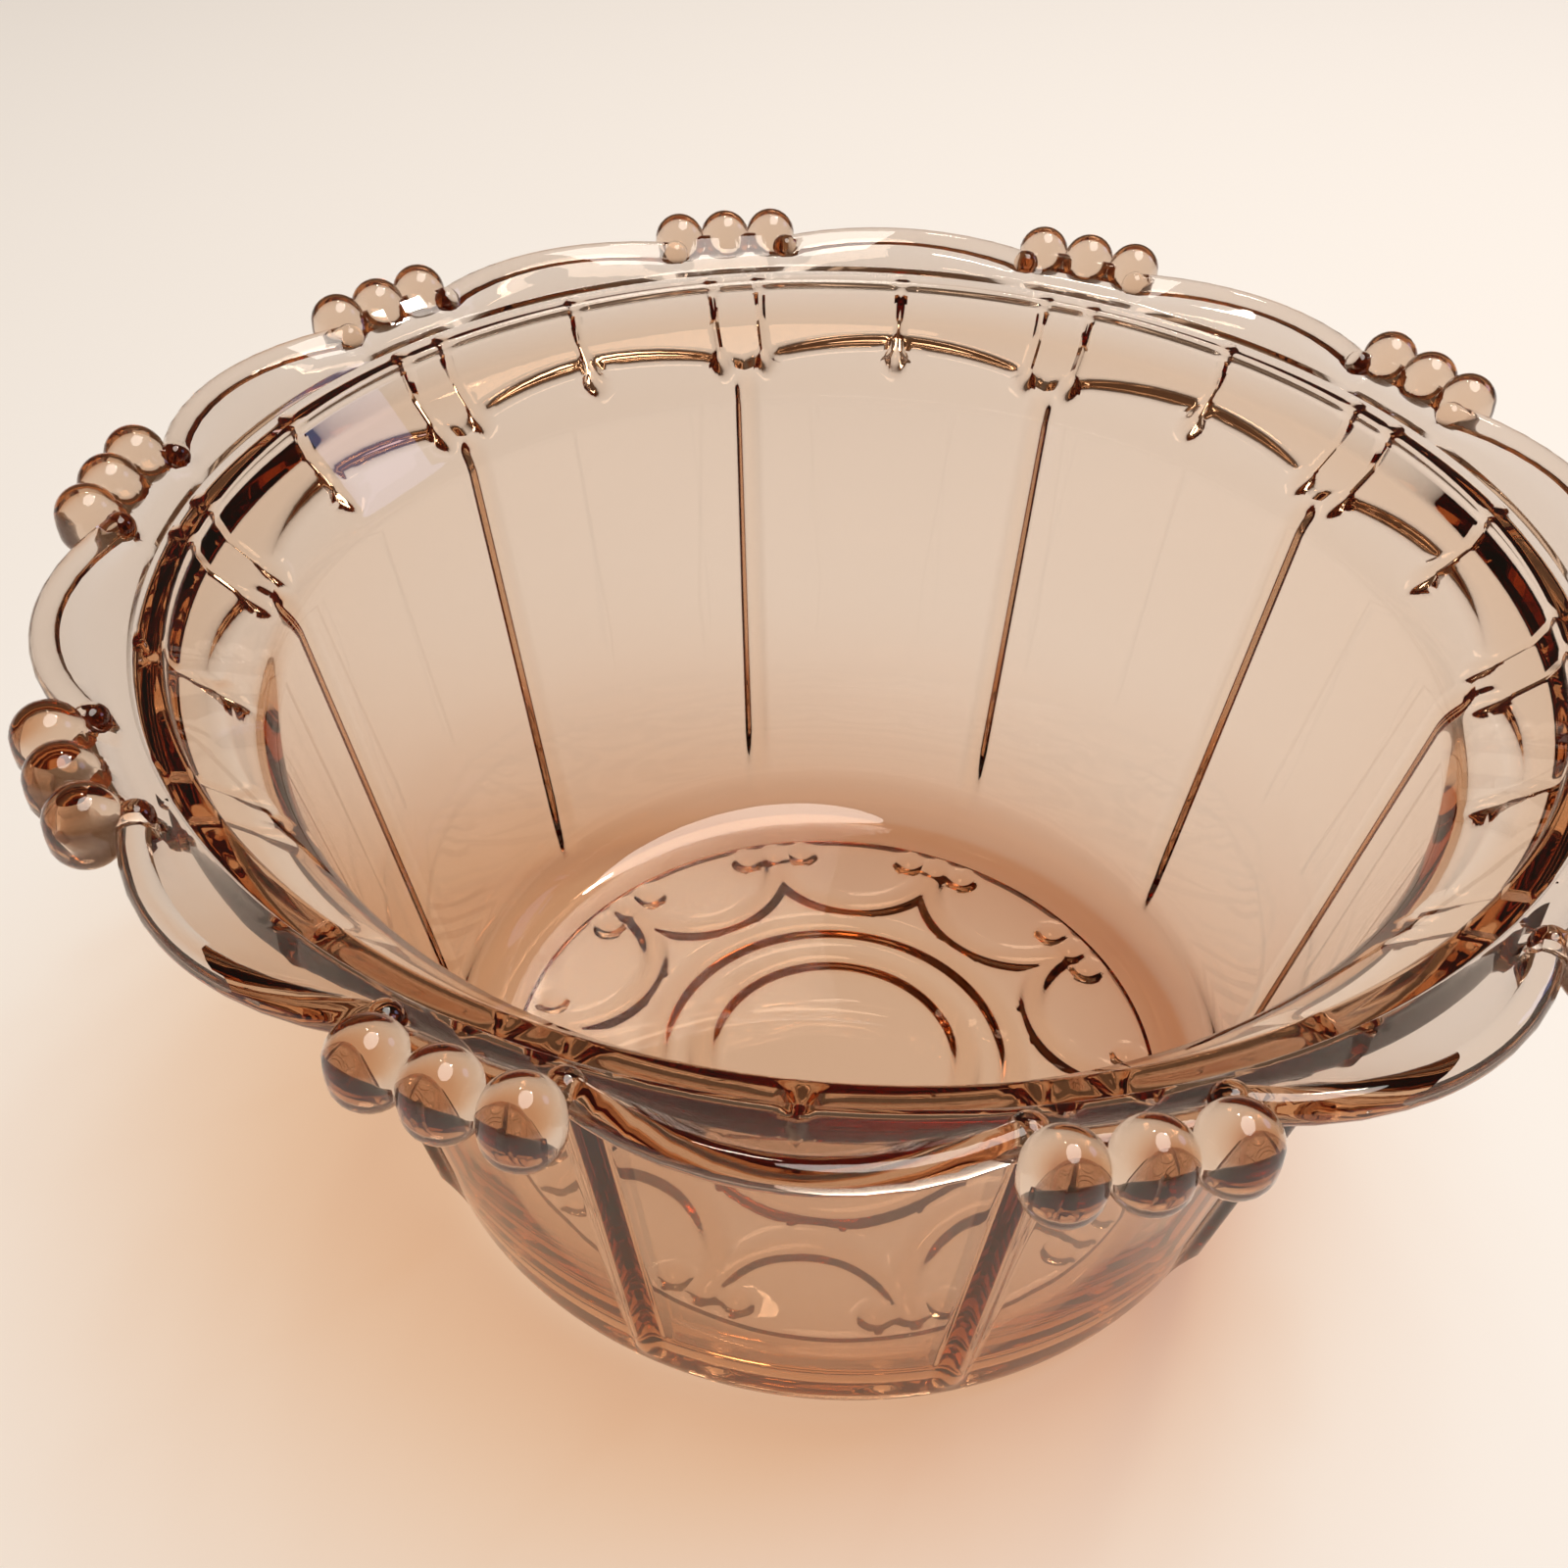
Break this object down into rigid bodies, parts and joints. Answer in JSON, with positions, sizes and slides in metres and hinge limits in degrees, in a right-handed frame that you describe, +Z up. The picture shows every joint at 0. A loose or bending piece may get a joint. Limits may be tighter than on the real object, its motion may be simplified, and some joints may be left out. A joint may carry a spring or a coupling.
{
  "type": "candy dish",
  "caption": "Round flared candy dish of pink pressed glass with ribbed wall panels, a scalloped flange edged with bead groups, and a recessed lid seat.",
  "frame": {"origin": "centre of the flat ring that the dish stands on, at the level of the table", "axes": "+Z up along the dish's axis, out of the bowl's mouth; +X through the middle of one bead group on the rim"},
  "size_m": [0.1706, 0.167, 0.086],
  "materials": {
    "pink_glass": "fire-polished pressed glass"
  },
  "bodies": {
    "root": {"base_floor": "pink_glass", "standing_heel": "pink_glass", "bowl_wall": "pink_glass", "shoulder": "pink_glass", "lid_seat": "pink_glass", "rim_beads": "pink_glass", "edge_rolls": "pink_glass", "scalloped_flange": "pink_glass", "arched_band": "pink_glass", "shoulder_stems": "pink_glass", "stem_drops": "pink_glass", "panel_ribs": "pink_glass", "base_balls": "pink_glass", "base_star": "pink_glass", "base_rings": "pink_glass"}
  },
  "joints": []
}
